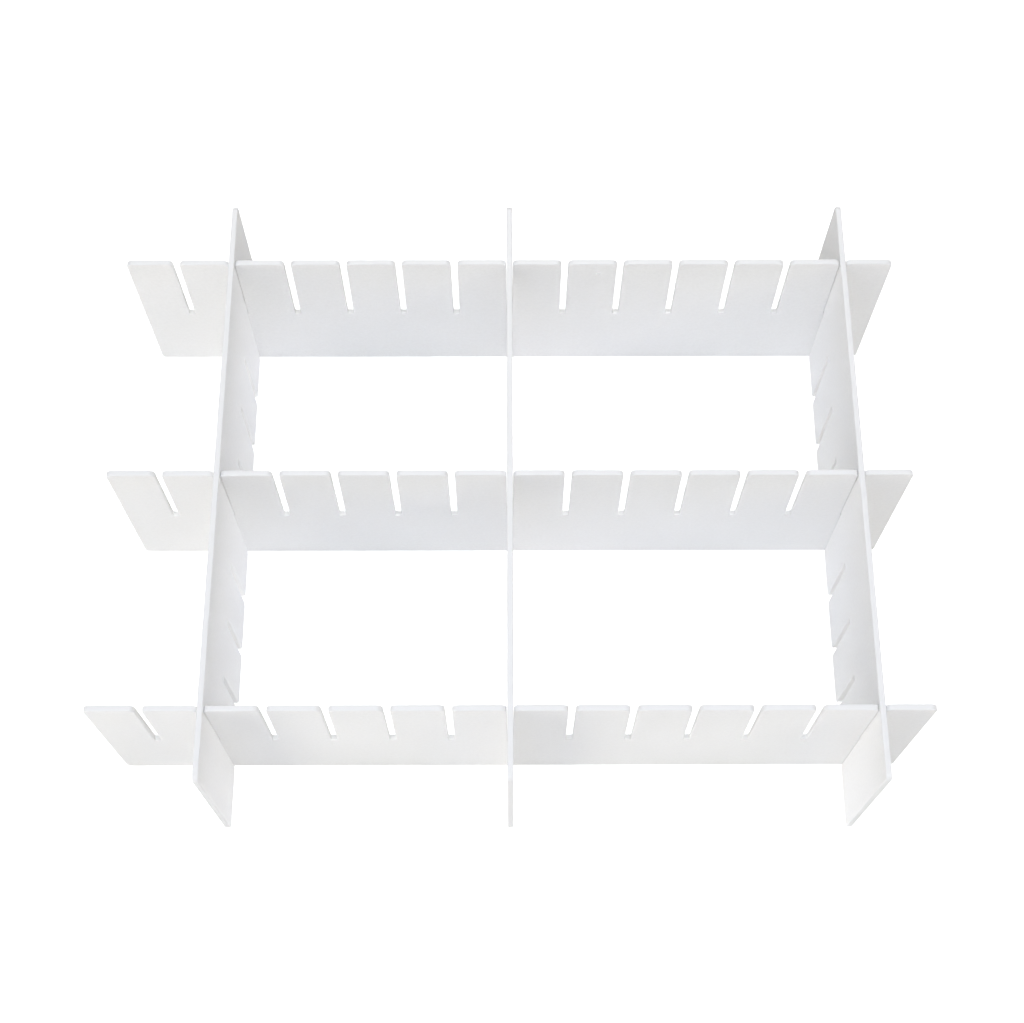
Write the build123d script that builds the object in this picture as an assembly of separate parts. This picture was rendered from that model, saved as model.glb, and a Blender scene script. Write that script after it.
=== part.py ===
from build123d import *
import os

# Drawer organizer insert: three long strips and three cross strips of white plastic,
# each slotted halfway through, that lap together into an open grid standing in a drawer.
# X runs along the long strips, Y along the cross strips (the front is at -Y) and Z is up.
# The origin is at the centre of the footprint, on the plane that all six strips stand on.
# Every size is in millimetres.

# Every strip
strip_height = 90.0
strip_thickness = 2.6
outer_corner_radius = 2.6
edge_round = 0.5  # soft moulded edge all round both broad faces

# Slots: tapered, and a little deeper than half the height, so that the strips drop into
# each other easily and their top and bottom edges finish flush at every crossing
half_lap_clearance = 0.3
slot_depth = strip_height / 2 + half_lap_clearance
slot_end_width = 2.7
slot_mouth_width = 3.0
slot_mouth_radius = 2.5
slot_end_radius = 0.4

# Long strips, slotted from the top edge
long_length = 350.0
long_slot_count = 13
long_slot_pitch = 25.4

# Cross strips, slotted from the bottom edge
cross_length = 271.0
cross_slot_count = 9
cross_slot_pitch = 26.3

# The slots in use, counted from the middle slot: a long strip's place is a slot of the
# cross strips, and a cross strip's place is a slot of the long strips
long_strip_places = {
    "front_long_divider": -4,
    "middle_long_divider": 0,
    "rear_long_divider": 4,
}
cross_strip_places = {
    "left_cross_divider": -5,
    "middle_cross_divider": 0,
    "right_cross_divider": 6,
}

# Gate mark left by moulding on one broad face of each long strip: a low round nub
gate_mark_width = 2.6
gate_mark_rise = 0.5
gate_mark_rim = 0.2
gate_mark_from_middle = 41.0
gate_mark_level = 81.0
strips_gated_at_front = ["rear_long_divider"]

same_place = 0.01  # two points nearer than this are the same point


def slot_outline(centre):
    """One tapered slot of the flat drawing, open at the upper edge."""
    end_level = strip_height - slot_depth
    corners = Polyline(
        (centre - slot_end_width / 2, end_level),
        (centre + slot_end_width / 2, end_level),
        (centre + slot_mouth_width / 2, strip_height),
        (centre - slot_mouth_width / 2, strip_height),
        close=True,
    )
    return make_face(corners)


def comb_drawing(length, slot_count, slot_pitch):
    """Flat drawing of a strip: its length along X, its height along Y, slots at the top."""
    last_slot = (slot_count - 1) / 2 * slot_pitch
    drawing = Pos(0, strip_height / 2) * RectangleRounded(length, strip_height, outer_corner_radius)
    for index in range(slot_count):
        drawing -= slot_outline(index * slot_pitch - last_slot)
    end_level = strip_height - slot_depth
    slot_ends = drawing.vertices().filter_by(lambda v: abs(v.Y - end_level) < same_place)
    drawing = fillet(slot_ends, slot_end_radius)
    slot_mouths = drawing.vertices().filter_by(
        lambda v: abs(v.Y - strip_height) < same_place and abs(v.X) < last_slot + slot_mouth_width
    )
    return fillet(slot_mouths, slot_mouth_radius)


def comb_strip(length, slot_count, slot_pitch):
    """A strip lying flat, centred on its thickness, with its edges softened."""
    drawing = comb_drawing(length, slot_count, slot_pitch)
    strip = extrude(drawing, amount=strip_thickness / 2, both=True)
    broad_faces = strip.faces().sort_by(Axis.Z)
    return fillet(broad_faces[0].edges() + broad_faces[-1].edges(), edge_round)


def gate_mark():
    """The nub on the upper broad face of a strip lying flat: a low disc with a rounded rim."""
    disc = Pos(gate_mark_from_middle, gate_mark_level, strip_thickness / 2) * Cylinder(
        gate_mark_width / 2, gate_mark_rise, align=(Align.CENTER, Align.CENTER, Align.MIN)
    )
    return fillet(disc.edges().sort_by(Axis.Z)[-1], gate_mark_rim)


def long_stand(place, gate_at_front):
    """Upright along X with the slots upward, at one slot of the cross strips."""
    facing = -1 if gate_at_front else 1
    return Plane(
        origin=(0, place * cross_slot_pitch, 0), x_dir=(-facing, 0, 0), z_dir=(0, facing, 0)
    )


def cross_stand(place):
    """Upright along Y with the slots downward, at one slot of the long strips."""
    return Plane(
        origin=(place * long_slot_pitch, 0, strip_height), x_dir=(0, 1, 0), z_dir=(-1, 0, 0)
    )


os.makedirs("parts", exist_ok=True)

long_comb = comb_strip(long_length, long_slot_count, long_slot_pitch) + gate_mark()
for name, place in long_strip_places.items():
    stand = long_stand(place, name in strips_gated_at_front)
    export_step(stand * long_comb, f"parts/{name}.step")

cross_comb = comb_strip(cross_length, cross_slot_count, cross_slot_pitch)
for name, place in cross_strip_places.items():
    export_step(cross_stand(place) * cross_comb, f"parts/{name}.step")
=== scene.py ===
import bpy
from math import cos, radians, sin
from mathutils import Matrix, Vector

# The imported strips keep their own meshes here. This script gives them a moulded white
# plastic, a plain white stage, soft studio light and the camera. Sizes are in metres.

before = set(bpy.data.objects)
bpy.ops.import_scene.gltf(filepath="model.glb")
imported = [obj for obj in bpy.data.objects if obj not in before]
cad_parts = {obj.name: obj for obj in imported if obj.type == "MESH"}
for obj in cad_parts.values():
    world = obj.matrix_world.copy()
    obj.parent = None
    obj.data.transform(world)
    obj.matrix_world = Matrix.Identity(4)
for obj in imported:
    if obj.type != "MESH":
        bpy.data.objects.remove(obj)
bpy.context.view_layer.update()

# Camera: above the front edge of the grid, looking steeply down across it
camera_place = Vector((-0.0005, -0.2985, 0.7598))
camera_pitch = radians(67.3)
camera_heading = radians(0.28)
camera_roll = radians(0.16)
camera_lens = 59.58  # millimetres, as is the sensor's width
sensor_width = 36.0
camera_near = 0.01
camera_far = 20.0

# Plastic: the details say how many finer layers each noise has
face_white = 0.962
# painted shade: the rounded edges and slot walls get this lower white in place of the shade that
# falls there
edge_shade_white = 0.90
tone_change = 0.012
tone_size = 0.045
tone_detail = 2
mottle_change = 0.045
mottle_size = 0.0014
mottle_detail = 3
face_roughness = (0.40, 0.50)
edge_roughness = 0.48
satin_size = 0.015
satin_detail = 3
ripple_size = 0.045
ripple_depth = 0.0001
ripple_detail = 1
grain_size = 0.0009
grain_depth = 0.00004
grain_detail = 3
scatter_weight = 0.25
scatter_depth = 0.001
scatter_balance = (1.0, 1.0, 1.0)  # red, green and blue alike
noise_spread = (0.3, 0.7)  # where nearly all of a noise's values lie
broad_facing = (0.5, 0.98)  # from fully an edge to fully a broad face

# Light: soft square lamps on a ball round the grid, each aimed at its middle
lamp_distance = 2.0
lamp_size = 0.7
top_lamp_size = 0.9
light_bounces = 12  # between the pale faces of the cells

# Stage: the floor and the backdrop that the camera sees glow pure white and light nothing.
# The floor that lights the strips from below isn't seen.
stage_roughness = 0.9
floor_size = 8.0
floor_gap = 0.0002
floor_white = 0.9
shown_glow = (1.0, 1.0, 1.0)
lit_floor_glow = (0.089, 0.084, 0.073)
backdrop_radius = 5.5
backdrop_segments = 48
backdrop_rings = 24


def make_camera():
    data = bpy.data.cameras.new("camera")
    data.sensor_width = sensor_width
    data.lens = camera_lens
    data.clip_start = camera_near
    data.clip_end = camera_far
    camera = bpy.data.objects.new("camera", data)
    heading = Matrix.Rotation(-camera_heading, 4, "Z")
    pitch = Matrix.Rotation(radians(90) - camera_pitch, 4, "X")
    roll = Matrix.Rotation(camera_roll, 4, "Z")
    camera.matrix_world = Matrix.Translation(camera_place) @ heading @ pitch @ roll
    bpy.context.scene.collection.objects.link(camera)
    bpy.context.scene.camera = camera


def add_node(tree, kind, **settings):
    node = tree.nodes.new(kind)
    for name, value in settings.items():
        setattr(node, name, value)
    return node


def add_noise(tree, place, size, detail):
    """Noise whose bumps are about this size, in metres."""
    noise = add_node(tree, "ShaderNodeTexNoise")
    noise.inputs["Scale"].default_value = 1 / size
    noise.inputs["Detail"].default_value = detail
    tree.links.new(place, noise.inputs["Vector"])
    return noise.outputs["Fac"]


def add_range(tree, value, old, new):
    """The value carried from the old range to the new one, and held at its ends."""
    change = add_node(tree, "ShaderNodeMapRange")
    for name, number in zip(("From Min", "From Max", "To Min", "To Max"), old + new):
        change.inputs[name].default_value = number
    tree.links.new(value, change.inputs["Value"])
    return change.outputs["Result"]


def add_mix(tree, share, first, second):
    """The first number where the share is 0, the second value where it is 1."""
    mix = add_node(tree, "ShaderNodeMix", data_type="FLOAT")
    mix.inputs["A"].default_value = first
    tree.links.new(share, mix.inputs["Factor"])
    tree.links.new(second, mix.inputs["B"])
    return mix.outputs["Result"]


def add_bump(tree, height, depth):
    bump = add_node(tree, "ShaderNodeBump")
    bump.inputs["Distance"].default_value = depth
    tree.links.new(height, bump.inputs["Height"])
    return bump


def make_plastic(name, across):
    """Moulded white plastic. across is the axis that runs through the strip's thickness."""
    material = bpy.data.materials.new(name)
    material.use_nodes = True
    tree = material.node_tree
    shader = tree.nodes["Principled BSDF"]
    place = add_node(tree, "ShaderNodeTexCoord").outputs["Object"]

    # How far a point faces across the strip: 1 on its broad faces, 0 on its edges
    normal = add_node(tree, "ShaderNodeTexCoord").outputs["Normal"]
    facing = add_node(tree, "ShaderNodeVectorMath", operation="DOT_PRODUCT")
    facing.inputs[1].default_value = across
    tree.links.new(normal, facing.inputs[0])
    size = add_node(tree, "ShaderNodeMath", operation="ABSOLUTE")
    tree.links.new(facing.outputs["Value"], size.inputs[0])
    broad = add_range(tree, size.outputs["Value"], broad_facing, (0.0, 1.0))

    # Colour: near white with a slow change of tone and a fine mottle, with painted shade on the
    # edges and slot walls
    tone = add_noise(tree, place, tone_size, tone_detail)
    tone = add_range(tree, tone, noise_spread, (face_white - tone_change, face_white))
    mottle = add_noise(tree, place, mottle_size, mottle_detail)
    mottle = add_range(tree, mottle, noise_spread, (1 - mottle_change, 1))
    mottled = add_node(tree, "ShaderNodeMath", operation="MULTIPLY")
    tree.links.new(tone, mottled.inputs[0])
    tree.links.new(mottle, mottled.inputs[1])
    # painted shade: the edges take the lower edge white, the broad faces the mottled white
    white = add_mix(tree, broad, edge_shade_white, mottled.outputs["Value"])
    colour = add_node(tree, "ShaderNodeCombineColor")
    for channel in ("Red", "Green", "Blue"):
        tree.links.new(white, colour.inputs[channel])
    tree.links.new(colour.outputs["Color"], shader.inputs["Base Color"])

    # Gloss: an uneven satin on the broad faces
    satin = add_noise(tree, place, satin_size, satin_detail)
    satin = add_range(tree, satin, noise_spread, face_roughness)
    gloss = add_mix(tree, broad, edge_roughness, satin)
    tree.links.new(gloss, shader.inputs["Roughness"])

    # Relief: the fine grain of the mould over slow ripples
    ripple = add_bump(tree, add_noise(tree, place, ripple_size, ripple_detail), ripple_depth)
    grain = add_bump(tree, add_noise(tree, place, grain_size, grain_detail), grain_depth)
    tree.links.new(ripple.outputs["Normal"], grain.inputs["Normal"])
    tree.links.new(grain.outputs["Normal"], shader.inputs["Normal"])

    shader.inputs["Subsurface Weight"].default_value = scatter_weight
    shader.inputs["Subsurface Scale"].default_value = scatter_depth
    shader.inputs["Subsurface Radius"].default_value = scatter_balance
    return material


def dress_strips():
    long_plastic = make_plastic("long_strip_plastic", (0, 1, 0))
    cross_plastic = make_plastic("cross_strip_plastic", (1, 0, 0))
    for name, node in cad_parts.items():
        plastic = cross_plastic if "cross" in name else long_plastic
        node.data.materials.clear()
        node.data.materials.append(plastic)


def stage_material(name, white, glow):
    material = bpy.data.materials.new(name)
    material.use_nodes = True
    shader = material.node_tree.nodes["Principled BSDF"]
    shader.inputs["Base Color"].default_value = (white, white, white, 1)
    shader.inputs["Roughness"].default_value = stage_roughness
    shader.inputs["Specular IOR Level"].default_value = 0.0
    shader.inputs["Emission Color"].default_value = (*glow, 1)
    shader.inputs["Emission Strength"].default_value = 1.0
    return material


def only_seen(piece):
    """Show the piece to the camera, and leave it out of all the lighting."""
    piece.visible_diffuse = False
    piece.visible_glossy = False
    piece.visible_transmission = False
    piece.visible_shadow = False


def make_floor(name, drop, glow):
    bpy.ops.mesh.primitive_plane_add(size=floor_size, location=(0, 0, -drop))
    floor = bpy.context.object
    floor.name = name
    floor.data.materials.append(stage_material(name, floor_white, glow))
    return floor


def make_stage():
    shown_floor = make_floor("shown_floor", floor_gap, shown_glow)
    only_seen(shown_floor)
    lit_floor = make_floor("lit_floor", 2 * floor_gap, lit_floor_glow)
    lit_floor.visible_camera = False
    bpy.ops.mesh.primitive_uv_sphere_add(
        radius=backdrop_radius, segments=backdrop_segments, ring_count=backdrop_rings
    )
    backdrop = bpy.context.object
    backdrop.name = "backdrop"
    backdrop.data.materials.append(stage_material("backdrop", 0.0, shown_glow))
    only_seen(backdrop)


def add_lamp(name, azimuth, elevation, power, colour, size=lamp_size):
    """Angles in degrees: azimuth 0 is in front, 90 is at the right; elevation 90 is overhead."""
    data = bpy.data.lights.new(name, "AREA")
    data.shape = "SQUARE"
    data.size = size
    data.energy = power
    data.color = colour
    across, up = radians(azimuth), radians(elevation)
    away = Vector((sin(across) * cos(up), -cos(across) * cos(up), sin(up)))
    lamp = bpy.data.objects.new(name, data)
    lamp.location = away * lamp_distance
    lamp.rotation_mode = "QUATERNION"
    lamp.rotation_quaternion = away.to_track_quat("Z", "Y")
    lamp.visible_camera = False
    bpy.context.scene.collection.objects.link(lamp)


def make_lights():
    add_lamp("front_left", -24, 44, 4.4, (0.87, 0.89, 1.0))
    add_lamp("front_right", 24, 44, 4.1, (0.92, 0.95, 1.0))
    add_lamp("left_low", -48, 8, 6.9, (1.0, 0.94, 0.78))
    add_lamp("left_middle", -48, 24, 3.3, (1.0, 1.0, 0.97))
    add_lamp("left_high", -72, 44, 8.0, (1.0, 0.97, 0.98))
    add_lamp("right_middle", 48, 24, 3.7, (1.0, 0.95, 0.68))
    add_lamp("right_high", 72, 44, 9.1, (1.0, 0.95, 1.0))
    add_lamp("back", 180, 50, 12.3, (1.0, 0.95, 0.83))
    add_lamp("top", 0, 90, 10.7, (0.69, 0.82, 1.0), top_lamp_size)


make_camera()
dress_strips()
make_stage()
make_lights()
bpy.context.scene.view_settings.view_transform = "Standard"
bpy.context.scene.cycles.diffuse_bounces = light_bounces
